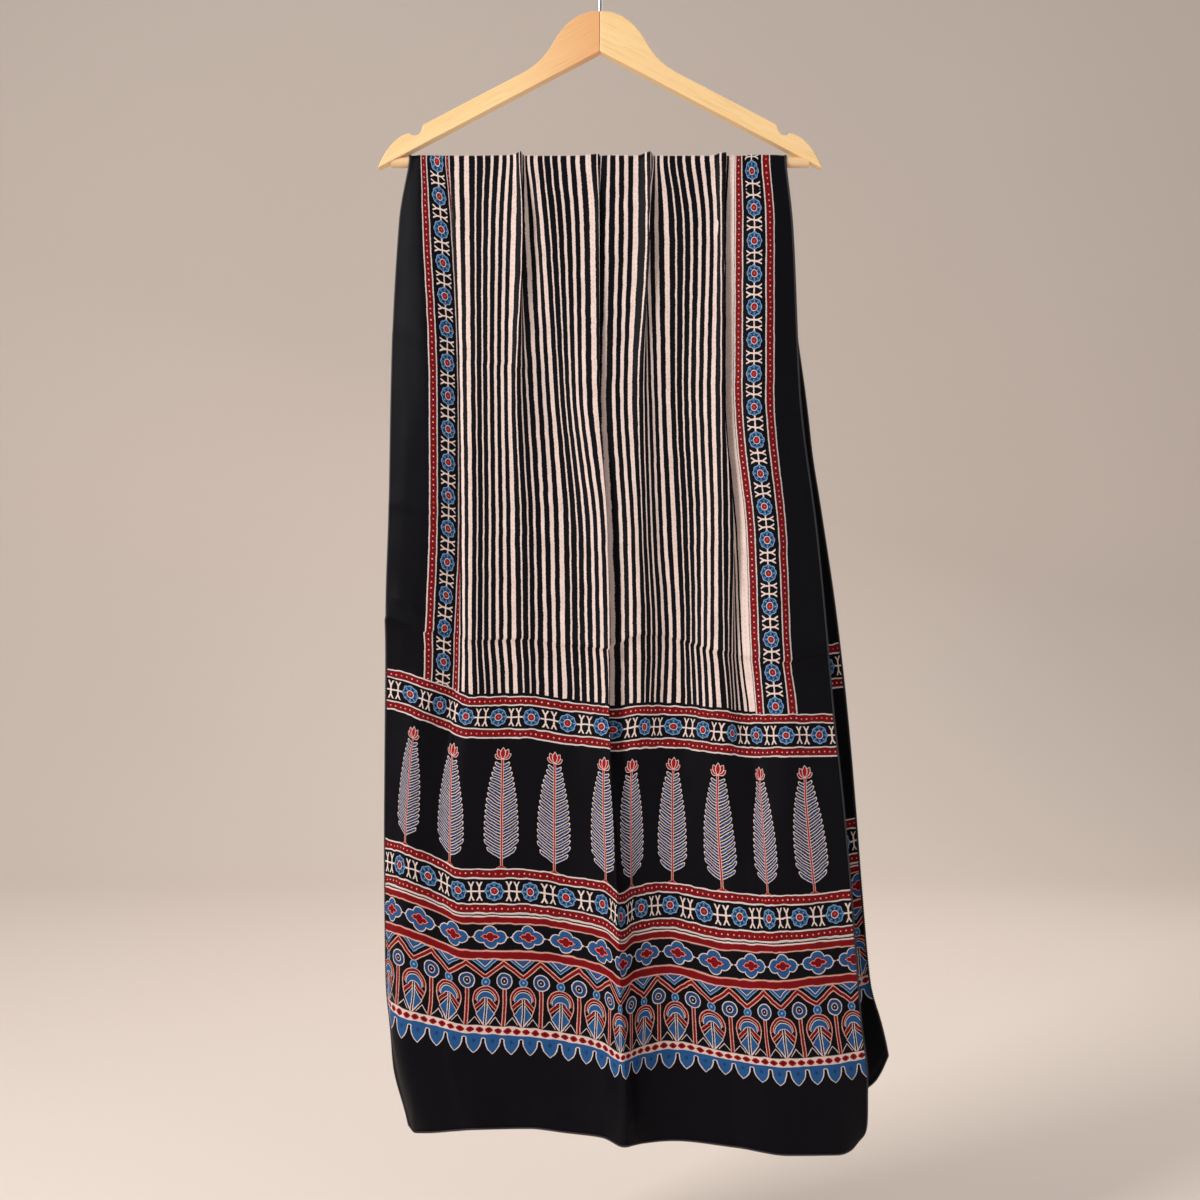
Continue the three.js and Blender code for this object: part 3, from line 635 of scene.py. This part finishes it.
# The print, in millimetres of flat cloth: u across, v up from the nearer hem.
ROW_START, ROW_PITCH = 27.5, 36
LEFT_START, RIGHT_START, COLUMN_PITCH = 460.5, 512.3, 33.25
TREE_START, TREE_PITCH = 36.5, 53
LOTUS_START, LOTUS_PITCH = 9.5, 37.93
LOZENGE_START = 16
STRIPE_PITCH = 50.5
THREAD_PITCH = 0.62
FIRST_STRIPE = 103.5
STRIPES = [(0, 4.6), (8.8, 1.6), (16.4, 1.7), (24.0, 2.6), (32.5, 3.3), (41.2, 3.8)]


def rosettes_and_bands(f, ground, u, v, above, grain):
    """Rows and columns of rosettes with forked stems between them, each between two dotted
    red bands."""
    start = f.choose(f.inside(u - WIDTH / 2), RIGHT_START, LEFT_START)
    column_along = f.wrap(v - start, COLUMN_PITCH)
    along = f.choose(above, f.wrap(u - ROW_START, ROW_PITCH), column_along)
    across = f.choose(above, abs(v - 328.65) - 87.15, abs(u - WIDTH / 2) - 210.5)
    reach = abs(across)
    band = reach - f.choose(above, 11.9, 13.4)
    steps = ((0.0, None), (1.4, PALE), (2.0, BLACK), (8.2, RED), (8.8, BLACK), (10.3, PALE))
    ground = f.lay(ground, f.rings(band, *steps))
    dot_place = f.choose(above, u, v)
    dot = f.far(f.wrap(dot_place, 5.7), band - 5.2)
    ground = f.over(ground, f.over(CREAM, ORANGE, f.inside(grain - 0.5, 0.2)), f.inside(dot - 0.75, 0.5))
    # forked stems
    from_middle = f.choose(above, ROW_PITCH / 2, COLUMN_PITCH / 2) - abs(along)
    stem = f.most(reach - 0.75, from_middle - 8.5)
    spread = f.most(reach - 4.4, 0.0) * 0.5
    twig = f.most(abs(abs(from_middle - 4.0) - spread) - 0.8, reach - 9.3)
    ground = f.over(ground, CREAM, f.inside(f.least(stem, twig)))
    # rosettes
    radius = f.far(along, across)
    turn = f.math("ARCTAN2", across, along) * 4
    lobe = abs(f.math("COSINE", turn))
    edge = radius - f.math("MULTIPLY_ADD", lobe, 1.1, 8.2)
    ground = f.lay(ground, f.rings(edge, (-4.3, NAVY), (-0.9, BLUE), (0.0, SKY)))
    ring = abs(edge + 2.8)
    cleft = f.most(lobe * radius - 2.2, ring - 1.9)
    ground = f.over(ground, NAVY, f.inside(cleft, 0.7))
    vein = f.most(abs(f.math("SINE", turn)) * radius - 1.5, ring - 1.4, grain * 6 - 3.4)
    ground = f.over(ground, SKY, f.inside(vein, 0.8))
    eye = ((0.5, colour(226, 110, 80)), (2.5, BRIGHT_RED), (3.3, NAVY), (4.1, PALE))
    return f.lay(ground, f.rings(radius, *eye))


def trees(f, ground, u, v, grain):
    """Cypress trees: a red trunk, curved outlined leaves and a red lotus on top."""
    a = abs(f.wrap(u - TREE_START, TREE_PITCH))
    y = v - 263
    slant = y - a * f.math("MULTIPLY_ADD", a, 0.012, 0.45)
    leaf = f.wrap(slant, 6.0)
    root = slant - leaf
    from_widest = root - 25.0
    taper = f.math("MULTIPLY_ADD", from_widest * from_widest, -0.0016, 14.6)
    width = f.least(taper, f.math("MULTIPLY_ADD", root, 1.3, -3.5))
    tip = f.far(f.most(a - width, 0.0), leaf)
    reach = f.most(tip - 2.1, 8.0 - root, root - 104.0)
    leaf_blue = f.over(LEAF_DARK, LEAF_LIGHT, f.inside(grain - 0.47, 0.3))
    ground = f.over(ground, PALE, f.inside(reach, 0.3))
    ground = f.over(ground, leaf_blue, f.inside(reach + 0.85, 0.3))
    flare = f.most(f.math("MULTIPLY_ADD", y, -1.8, 5.4), 0.0)
    trunk = f.most(a - flare, 1.4 - y, y - 110.0)
    ground = f.lay(ground, f.rings(trunk, (0.65, TRUNK_RED), (1.25, SALMON)))
    # lotus, outer petals first
    up = y - 109.5
    for lean, length, half in ((1.0, 9.4, 2.9), (0.48, 11.6, 2.9), (0.0, 12.4, 2.8)):
        run = a * math.sin(lean) + up * math.cos(lean)
        off = abs(a * math.cos(lean) - up * math.sin(lean))
        middle = f.math("MULTIPLY_ADD", run, 2 / length, -1.0)
        petal = f.math("MULTIPLY_ADD", middle * middle, half, off - half)
        ground = f.lay(ground, f.rings(petal, (-0.65, LOTUS_RED), (0.0, PALE)))
    return ground


def straight_bands(f, ground, v):
    """Plain bands across the borders."""
    steps = ((98.0, None), (98.9, PALE), (106.8, DUSTY_PINK), (107.6, PALE), (174.2, None),
             (175.6, SALMON), (182.6, RED), (184.0, SALMON), (209.3, None), (210.5, SALMON),
             (216.4, RED), (217.7, CREAM), (219.0, BLACK), (219.8, PALE))
    return f.lay(ground, f.rings(v, *steps))


def lozenges(f, ground, u, v):
    """Blue four-lobed medallions with red hearts, tip to tip."""
    a = abs(f.wrap(u - LOZENGE_START, LOTUS_PITCH))
    y = abs(v - 196.9)
    tip = f.math("MULTIPLY_ADD", y, 2.2, a - 18.8) * 0.4
    outer = f.least(f.far(a, y - 4.0) - 7.6, f.far((a - 9.0) * 0.9, y) - 6.6, tip)
    ground = f.lay(ground, f.rings(outer, (-0.9, BLUE), (0.0, PALE)))
    tip = f.math("MULTIPLY_ADD", y, 2.4, a - 9.6) * 0.4
    heart = f.least(f.far(a, y - 1.2) - 3.9, f.far(a - 5.2, y) - 2.6, tip)
    return f.lay(ground, f.rings(heart, (-0.6, RED), (0.2, colour(214, 132, 128)), (0.8, NAVY)))


def arcade(f, ground, a, v):
    """Red pillars under blue discs, a zigzag above them, and a lotus bud in each bay."""
    half = LOTUS_PITCH / 2
    y = v - 107.5
    above_foot = f.inside(0.6 - y)
    hanging = f.math("MULTIPLY_ADD", a, -0.8, -163.8) + v
    nested = ((0.0, None), (0.9, SKY), (3.6, BLUE), (4.5, PALE), (5.6, NAVY), (12.0, BLUE))
    ground = f.lay(ground, f.rings(hanging, *nested), f.inside(v - 174.4))
    zigzag = abs(v - f.math("MULTIPLY_ADD", a, 14.5 / half, 157.0)) * 0.8
    ground = f.lay(ground, f.rings(zigzag, (1.4, RED), (2.3, SALMON)), f.inside(v - 174.6))
    off = half - a
    pillar = f.rings(off, (1.2, RED), (2.0, SALMON), (3.1, BLACK))
    ground = f.lay(ground, pillar, above_foot * f.inside(v - 147))
    disc = f.far(off, v - 153.5)
    disc_rings = ((0.8, SALMON), (3.0, NAVY), (3.7, PALE), (7.2, colour(32, 62, 106)), (8.1, PALE))
    ground = f.lay(ground, f.rings(disc, *disc_rings))
    # bud: its outline, a red crown, a blue cap, red petals and a blue kite on a pale stem
    dome = f.far(a, y - 27.5)
    fall = f.math("POWER", f.most(27.5 - y, 0.0) / 27.5, 1.8)
    wall = f.most(a - f.math("MULTIPLY_ADD", fall, -12.6, 13.8), y - 27.5) * 0.88
    lower = f.rings(wall, (-0.9, BLACK), (0.0, SALMON))
    ground = f.lay(ground, lower, above_foot)
    upper = f.rings(dome, (9.9, BLACK), (10.6, SALMON), (12.8, RED), (13.6, SALMON))
    ground = f.lay(ground, upper, f.inside(26.5 - y))
    rise = f.math("MULTIPLY_ADD", a, 0.95, -26.0) + y
    petals = ((0.0, None), (0.8, SALMON), (5.0, RED), (5.8, SALMON))
    ground = f.lay(ground, f.rings(rise, *petals), f.inside(wall + 0.9) * f.inside(y - 29.0))
    cap = f.most(f.far(a, y - 26.5) - 9.4, 6.2 - f.far(a, y - 22.9))
    ground = f.lay(ground, f.rings(cap, (-0.7, BLUE), (0.0, PALE)), f.inside(25.0 - y))
    kite_top = f.math("MULTIPLY_ADD", a, 1.25, -24.5) + y
    kite_side = f.math("MULTIPLY_ADD", y, -0.8, -0.4) + a
    kite = f.most(kite_top, kite_side) * 0.7
    ground = f.lay(ground, f.rings(kite, (-0.6, BLUE), (0.0, PALE)), above_foot)
    blade = f.rings(a, (0.8, BLACK), (1.6, PALE))
    ground = f.lay(ground, blade, f.inside(f.most(y - 28.5, 1.5 - y)))
    bead = f.far(a, v - 152.0)
    ground = f.lay(ground, f.rings(bead, (1.2, SKY), (3.4, BLUE), (4.3, SKY)))
    # twigs between the buds' feet and the pillars
    twig = abs(y - 9.0 + abs(a - 10.6) * 1.2) * 0.64
    return f.over(ground, PALE, f.inside(f.most(twig - 0.32, 0.8 - y, a - 16.4, 4.8 - a)))


def scallops(f, ground, u, v):
    """Red diamonds on a pale band, and blue tongues hanging below it."""
    a = abs(f.wrap(u - LOTUS_START - LOTUS_PITCH / 8, LOTUS_PITCH / 4)) / 4.2
    y = abs(v - 102.8) / 3.2
    diamond = f.math("POWER", a, 1.4) + f.math("POWER", y, 1.4)
    ground = f.lay(ground, f.rings(diamond, (0.3, DARK_RED), (1.0, colour(128, 16, 22)), soft=0.14))
    a = abs(f.wrap(u - LOTUS_START - LOTUS_PITCH / 4, LOTUS_PITCH / 2))
    down = 98.6 - v
    fall = f.math("POWER", f.most(down, 0.0) / 21.0, 3.4)
    tongue = (a - f.math("MULTIPLY_ADD", fall, -8.2, 8.2)) * 0.85
    arch = f.most(down - 6.4, 2.0 - f.far(a - LOTUS_PITCH / 4, abs(down - 6.4)))
    edge = f.least(tongue, arch)
    ground = f.lay(ground, f.rings(edge, (-0.9, BLUE), (0.0, PALE)), f.inside(v - 98.6))
    blot = f.far(a, (down - 7.5) * 0.8)
    return f.over(ground, NAVY, f.inside(blot - 1.4, 2.4) * 0.7)


def stripes(f, ground, u, v):
    """Cream stripes of six widths that repeat across the field."""
    place = f.math("WRAP", u - FIRST_STRIPE + 4.5, STRIPE_PITCH, 0.0) - 4.5
    steps = []
    for middle, width in STRIPES:
        steps += [(middle - width / 2, None), (middle + width / 2, CREAM)]
    end = f.inside(f.most(440.6 - v, 91.0 - u, u - 461.2))
    ground = f.lay(ground, f.rings(place, *steps, soft=0.3), end)
    broad = f.inside(abs(u - 457.0) - 4.4) * end
    ground = f.over(ground, CREAM, broad)
    dots = f.inside(f.most(abs(place) - 0.4, abs(f.wrap(v, 5.2)) - 1.1), 0.6)
    return f.over(ground, colour(196, 132, 118), dots * end * 0.45)


def cloth_finish():
    f = Finish("ajrakh_print")
    uv = f.node("ShaderNodeUVMap", uv_map="print").outputs[0]
    split = f.node("ShaderNodeSeparateXYZ")
    f.feed(split.inputs[0], uv)
    u = Value(f, split.outputs[0]) * 1000
    v = Value(f, split.outputs[1]) * 1000
    v = f.least(v, LENGTH - v)
    warp = f.math("SINE", u * (2 * math.pi / THREAD_PITCH))
    weft = f.math("SINE", v * (2 * math.pi / THREAD_PITCH))
    slub = f.noise(f.place(u * 0.9, v * 0.045), 1.0, 1.0, 0.6)
    weave = warp * weft * 0.5 + slub * 0.9
    # the print wanders a little, as a hand-stamped one does
    drift = f.noise(uv, 55, 1.0)
    grain = f.noise(uv, 620, 0.0)
    u = u + f.math("MULTIPLY_ADD", drift, 1.3, -0.65) + f.math("MULTIPLY_ADD", grain, 0.7, -0.35)
    v = v + f.math("SINE", drift * 14) * 0.45
    above = f.inside(BORDER - v, 0.1)
    ground = stripes(f, BLACK, u, v)
    ground = rosettes_and_bands(f, ground, u, v, above, grain)
    margin = f.inside(f.most(15.0 - abs(u - WIDTH / 2) + 221.0, BORDER - v))
    ground = f.over(ground, BLACK, margin)
    tree_zone = f.inside(abs(v - 328) - 64.5)
    ground = f.over(ground, trees(f, BLACK, u, v, grain), tree_zone)
    lower = f.inside(v - 219.7)
    a = abs(f.wrap(u - LOTUS_START, LOTUS_PITCH))
    border = straight_bands(f, BLACK, v)
    border = lozenges(f, border, u, v)
    border = arcade(f, border, a, v)
    border = scallops(f, border, u, v)
    ground = f.over(ground, border, lower)
    # slubs and uneven dye
    wear = f.math("MULTIPLY_ADD", slub, 0.34, 0.83) * f.math("MULTIPLY_ADD", drift, 0.3, 0.85)
    tint = f.node("ShaderNodeVectorMath", operation="SCALE")
    f.feed(tint.inputs[0], ground)
    f.feed(tint.inputs[3], wear)
    f.shader(Base_Color=tint.outputs[0], Roughness=0.5, Specular_IOR_Level=0.07,
             Normal=f.bump(weave, 0.16, 0.0003))
    return f.material


def hem_finish():
    f = Finish("hem_thread")
    place = f.node("ShaderNodeTexCoord").outputs["Object"]
    twist = f.noise(place, 900, 2.0)
    shade = f.over(colour(12, 12, 16), colour(44, 42, 50), twist)
    f.shader(Base_Color=shade, Roughness=0.7, Normal=f.bump(twist, 0.3, 0.0003))
    return f.material


def wood_finish(name, slope, light, dark, painted_shade=None):
    """Fine straight grain along a direction in the front plane, with a painted shade towards the middle
    where a shade colour is given.
    """
    f = Finish(name)
    place = f.node("ShaderNodeTexCoord").outputs["Object"]
    split = f.node("ShaderNodeSeparateXYZ")
    f.feed(split.inputs[0], place)
    x, y, z = (Value(f, socket) for socket in split.outputs)
    run, rise = math.cos(slope), math.sin(slope)
    along = x * run + z * rise
    across = z * run - x * rise
    bend = f.noise(f.place(along * 6, across * 10, y * 10), 1.0, 1.0)
    grain = f.noise(f.place(along * 9, across * 330 + bend * 5, y * 300), 1.0, 4.0, 0.65)
    rings = f.noise(f.place(along * 3.5, across * 90 + bend * 3, y * 60), 1.0, 2.0)
    pores = f.noise(f.place(along * 26, across * 1300, y * 1300), 1.0, 1.0)
    shade = f.over(dark, light, f.math("MULTIPLY_ADD", rings, 0.9, grain * 0.5 - 0.2, clamp=True))
    # painted shade: the wood turns darker and pinker over the inner part of the arm, towards the middle
    if painted_shade:
        near = f.math("MULTIPLY_ADD", abs(x), -11.0, 1.05, clamp=True)
        shade = f.over(shade, painted_shade, near * 0.75)
    streak = f.inside(pores - 0.36, 0.05)
    shade = f.over(shade, colour(188, 136, 84), streak * 0.3)
    f.shader(Base_Color=shade, Roughness=0.42, Coat_Weight=0.12, Coat_Roughness=0.25,
             Normal=f.bump(grain - streak * 0.3, 0.12, 0.0004))
    return f.material


def steel_finish():
    f = Finish("steel_wire")
    place = f.node("ShaderNodeTexCoord").outputs["Object"]
    drawn = f.noise(place, 700, 3.0)
    shade = f.over(colour(150, 152, 156), colour(205, 207, 210), drawn)
    rough = f.math("MULTIPLY_ADD", drawn, 0.2, 0.2)
    f.shader(Base_Color=shade, Metallic=1.0, Roughness=rough, Normal=f.bump(drawn, 0.08, 0.0002))
    return f.material


# The hanger
def bezier(points, count):
    """Points along a curve through its first and last control points, without the last."""
    points = [np.array(p, float) for p in points]
    made = []
    for t in np.linspace(0, 1, count, endpoint=False):
        level = points
        while len(level) > 1:
            level = [a * (1 - t) + b * t for a, b in zip(level, level[1:])]
        made.append(level[0])
    return made


def arm_outline():
    """Outline of the right arm, from its mitred end to its nose and back."""
    outline = bezier([(MITRE_GAP, 0), (22, 0), (36, -13), (46, -30.4)], 14)
    outline += bezier([(46, -30.4), (53, -43), (61, -53), (77, -61.6)], 12)
    outline += bezier([(77, -61.6), (176.6, -113.5)], 6)
    outline += bezier([(176.6, -113.5), (178, -124.2), (184.6, -124)], 10)
    outline += bezier([(184.6, -124), (188.2, -123.8), (189.5, -121.6)], 5)
    outline += bezier([(189.5, -121.6), (203, -124), (215, -139), (221.5, -157)], 12)
    outline += bezier([(221.5, -157), (MITRE_GAP, -MITRE_DEPTH)], 12)
    outline.append(np.array([MITRE_GAP, -MITRE_DEPTH]))
    return outline


def arm_object(name, side):
    outline = arm_outline()
    count = len(outline)
    half = ARM_THICKNESS / 2
    vertices = [(side * p[0] * MM, y * MM, (ARM_TOP + p[1]) * MM) for y in (-half, half) for p in outline]
    front, back = list(range(count)), list(range(count, 2 * count))
    faces = [front, back[::-1]]
    faces += [(k, k + count, (k + 1) % count + count, (k + 1) % count) for k in range(count)]
    if side > 0:
        faces = [face[::-1] for face in faces]
    made = mesh_object(name, vertices, faces)
    made.data.validate()
    soften = made.modifiers.new("soften", "BEVEL")
    soften.width = 1.9 * MM
    soften.segments = 4
    soften.limit_method = "ANGLE"
    soften.angle_limit = math.radians(50)
    soften.harden_normals = True
    return made


def hook_line():
    """The bent wire's middle line, from the foot of its shank to its tip."""
    centre = WIRE / 2 - HOOK_RADIUS
    bend = HOOK_RADIUS * math.cos(CROOK_START) / (1 - math.cos(CROOK_START))
    bend_height = centre + (HOOK_RADIUS + bend) * math.sin(CROOK_START)
    line = [(0, z) for z in np.linspace(ARM_TOP - SHANK_DEPTH, bend_height, 16, endpoint=False)]
    for angle in np.linspace(math.pi, math.pi + CROOK_START, 14, endpoint=False):
        line.append((bend * (1 + math.cos(angle)), bend_height + bend * math.sin(angle)))
    for angle in np.linspace(CROOK_START, CROOK_END, 70):
        line.append((HOOK_RADIUS * math.cos(angle), centre + HOOK_RADIUS * math.sin(angle)))
    return np.array([(x, 0, z) for x, z in line], float)


def round_bar(name, line, radius, sides, across, ends):
    """A round bar along a line in the front plane, closed by ends given as (step, share)."""
    ahead = np.gradient(line, axis=0)
    ahead /= np.linalg.norm(ahead, axis=1, keepdims=True)
    across = np.array(across, float)
    up = np.cross(ahead, across)
    rings = [(line[0] - ahead[0] * step, 0, share) for step, share in ends[::-1]]
    rings += [(p, k, 1) for k, p in enumerate(line)]
    rings += [(line[-1] + ahead[-1] * step, len(line) - 1, share) for step, share in ends]
    vertices = []
    for point, k, share in rings:
        for s in range(sides):
            angle = 2 * math.pi * s / sides
            offset = radius * share * (math.cos(angle) * across + math.sin(angle) * up[k])
            vertices.append(tuple((point + offset) * MM))
    faces = [list(range(sides))[::-1], list(range((len(rings) - 1) * sides, len(rings) * sides))]
    for r in range(len(rings) - 1):
        for s in range(sides):
            a, b = r * sides, (r + 1) * sides
            faces.append((a + s, a + (s + 1) % sides, b + (s + 1) % sides, b + s))
    return mesh_object(name, vertices, faces)


# The object
cloth, cloth_points, cloth_normals = cloth_object()
cloth.data.materials.append(cloth_finish())
hem = hem_object(cloth_points, cloth_normals)
hem.data.materials.append(hem_finish())
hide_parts("cloth")
for piece in (cloth, hem):
    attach(piece, "root")

arm_slope = math.atan2(61.6 - 113.5, 176.6 - 77)
# The left arm gets a painted shade: its wood is darker and pinker towards the middle.
for name, node, side, painted_shade in (("wooden_arm_left", "hanger_arm_left", -1, colour(226, 158, 104)),
                                ("wooden_arm_right", "hanger_arm_right", 1, None)):
    arm = arm_object(name, side)
    arm.data.materials.append(wood_finish(name + "_grain", side * arm_slope, colour(251, 220, 166),
                                          colour(234, 190, 128), painted_shade))
    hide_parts(node)
    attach(arm, "root")

bar_material = wood_finish("bar_grain", 0, colour(240, 208, 164), colour(222, 178, 130))
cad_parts["hanger_bar"].data.materials.clear()
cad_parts["hanger_bar"].data.materials.append(bar_material)

hook = round_bar("wire_hook", hook_line(), WIRE / 2, 20, (0, 1, 0), [(1.0, 0.87), (1.75, 0.5), (2.0, 0.1)])
hook.data.materials.append(steel_finish())
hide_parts("hook")
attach(hook, "root")


# Stage, light and camera
def sweep():
    """A pale floor that curves up into a pale backdrop, well behind the object."""
    profile = [(-4.0, 0), (2.4, 0)]
    profile += [(2.4 + math.sin(t), 1 - math.cos(t)) for t in np.linspace(0.1, math.pi / 2, 14)]
    profile += [(3.4, 4.5)]
    floor = -1.36
    vertices = [(x, y, floor + z) for x in (-5, 5) for y, z in profile]
    count = len(profile)
    faces = [(k, k + count, k + 1 + count, k + 1) for k in range(count - 1)]
    made = mesh_object("studio_sweep", vertices, faces)
    f = Finish("studio_paper")
    place = f.node("ShaderNodeTexCoord").outputs["Object"]
    tone = f.noise(place, 0.6, 2.0)
    f.shader(Base_Color=f.over(colour(226, 212, 202), colour(234, 222, 213), tone), Roughness=0.9)
    made.data.materials.append(f.material)
    return made


def soft_light(name, place, target, size, power, tint):
    lamp = bpy.data.lights.new(name, "AREA")
    lamp.shape = "RECTANGLE"
    lamp.size, lamp.size_y = size
    lamp.energy = power
    lamp.color = tint
    made = bpy.data.objects.new(name, lamp)
    made.location = place
    made.rotation_euler = (Vector(target) - Vector(place)).to_track_quat("-Z", "Y").to_euler()
    bpy.context.scene.collection.objects.link(made)


sweep()
soft_light("key", (-2.5, -2.0, 0.9), (0, 0, -0.65), (1.0, 1.0), 112, (1.0, 0.972, 0.935))
soft_light("fill", (2.2, -2.6, -0.2), (0, 0, -0.7), (2.0, 2.0), 16, (0.94, 0.96, 1.0))
soft_light("back", (0.6, 2.0, 1.2), (0, 0, -0.6), (2.0, 1.5), 40, (1.0, 0.97, 0.93))
world = bpy.data.worlds.new("studio")
world.use_nodes = True
world.node_tree.nodes["Background"].inputs[0].default_value = (0.93, 0.91, 0.9, 1)
world.node_tree.nodes["Background"].inputs[1].default_value = 0.32
bpy.context.scene.world = world
bpy.context.scene.view_settings.view_transform = "Standard"

lens = bpy.data.cameras.new("camera")
lens.sensor_width = 36
lens.lens = 36 * EYE_DISTANCE / 1200
camera = bpy.data.objects.new("camera", lens)
camera.location = (0, -EYE_DISTANCE * MM, (BAR_AXIS - EYE_DROP) * MM)
camera.rotation_euler = (math.radians(90), 0, 0)
bpy.context.scene.collection.objects.link(camera)
bpy.context.scene.camera = camera
